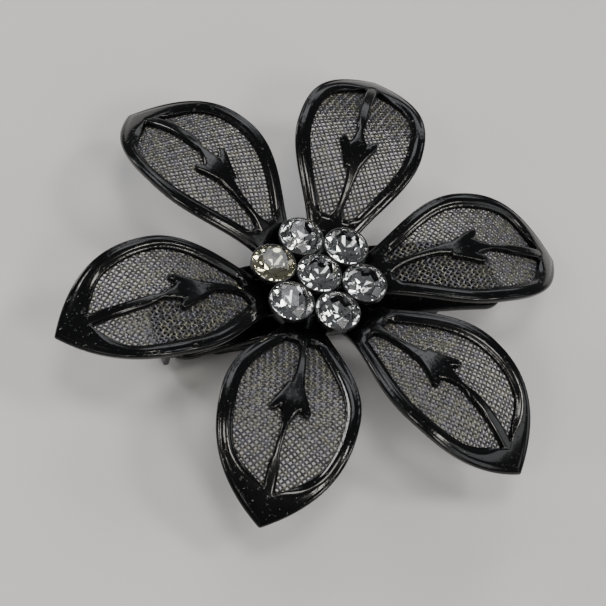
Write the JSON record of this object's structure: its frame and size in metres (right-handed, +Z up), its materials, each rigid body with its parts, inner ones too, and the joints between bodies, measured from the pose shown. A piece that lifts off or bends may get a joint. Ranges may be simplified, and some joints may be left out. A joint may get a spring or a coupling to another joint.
{
  "type": "hair clip",
  "caption": "Flower hair clip: black enamelled petals with gauze panels round a cluster of clear stones, on an arched barrette with a hinged clasp arm.",
  "frame": {"origin": "on the clasp arm's flat underside, straight below the middle stone", "axes": "+X along the barrette from its latch towards its hinge, +Z up through the flower's middle"},
  "size_m": [0.0716, 0.0635, 0.0175],
  "materials": {
    "black_enamel": "thick glossy black enamel over pressed metal, with soft rounded edges",
    "black_gauze": "fine square-woven wire gauze, dipped black, half open",
    "cup_black": "black plated cup with a thin bright-worn rim",
    "crystal": "clear cut glass, foil backed",
    "black_steel": "semi-gloss black lacquered steel strip, lightly rubbed at the edges",
    "spring_steel": "blackened spring steel with fine rolling lines",
    "bare_steel": "bright steel rivet and pin ends"
  },
  "bodies": {
    "flower_barrette": {"petal_frame_1": "black_enamel", "petal_frame_2": "black_enamel", "petal_frame_3": "black_enamel", "petal_frame_4": "black_enamel", "petal_frame_5": "black_enamel", "petal_frame_6": "black_enamel", "petal_gauze_1": "black_gauze", "petal_gauze_2": "black_gauze", "petal_gauze_3": "black_gauze", "petal_gauze_4": "black_gauze", "petal_gauze_5": "black_gauze", "petal_gauze_6": "black_gauze", "stone_cup_centre": "cup_black", "stone_cup_1": "cup_black", "stone_cup_2": "cup_black", "stone_cup_3": "cup_black", "stone_cup_4": "cup_black", "stone_cup_5": "cup_black", "stone_cup_6": "cup_black", "rhinestone_centre": "crystal", "rhinestone_1": "crystal", "rhinestone_2": "crystal", "rhinestone_3": "crystal", "rhinestone_4": "crystal", "rhinestone_5": "crystal", "rhinestone_6": "crystal", "backing_disc": "black_steel", "centre_rivet": "bare_steel", "barrette_plate": "black_enamel", "hinge_pin": "bare_steel", "latch_base": "spring_steel", "latch_rivet": "black_steel"},
    "clasp_arm": {"clasp_arm": "black_steel"},
    "spring_bow": {"spring_bow": "spring_steel"},
    "latch_jaw_front": {"latch_jaw_front": "spring_steel"},
    "latch_jaw_back": {"latch_jaw_back": "spring_steel"}
  },
  "joints": [
    {"name": "clasp_arm_hinge", "type": "hinge", "parent": "flower_barrette", "child": "clasp_arm", "pos_m": [0.0195, 0.0011, 0.00433], "axis": [0, -1, 0], "range_deg": [0, 95]},
    {"name": "spring_bow_press", "type": "slide", "parent": "flower_barrette", "child": "spring_bow", "axis": [0, 0, 1], "range_m": [0, 0.0016], "stiffness_N_per_m": 1500, "deforming": ["spring_bow"]},
    {"name": "latch_squeeze_front", "type": "hinge", "parent": "flower_barrette", "child": "latch_jaw_front", "pos_m": [-0.0163, -0.00065, 0.00324], "axis": [1, 0, 0], "range_deg": [0, 9], "stiffness_Nm_per_rad": 0.005},
    {"name": "latch_squeeze_back", "type": "hinge", "parent": "flower_barrette", "child": "latch_jaw_back", "pos_m": [-0.0163, 0.00285, 0.00324], "axis": [1, 0, 0], "range_deg": [-9, 0], "stiffness_Nm_per_rad": 0.005}
  ],
  "couplings": [
    {"joint": "latch_squeeze_back", "follows": "latch_squeeze_front", "ratio": -1}
  ]
}
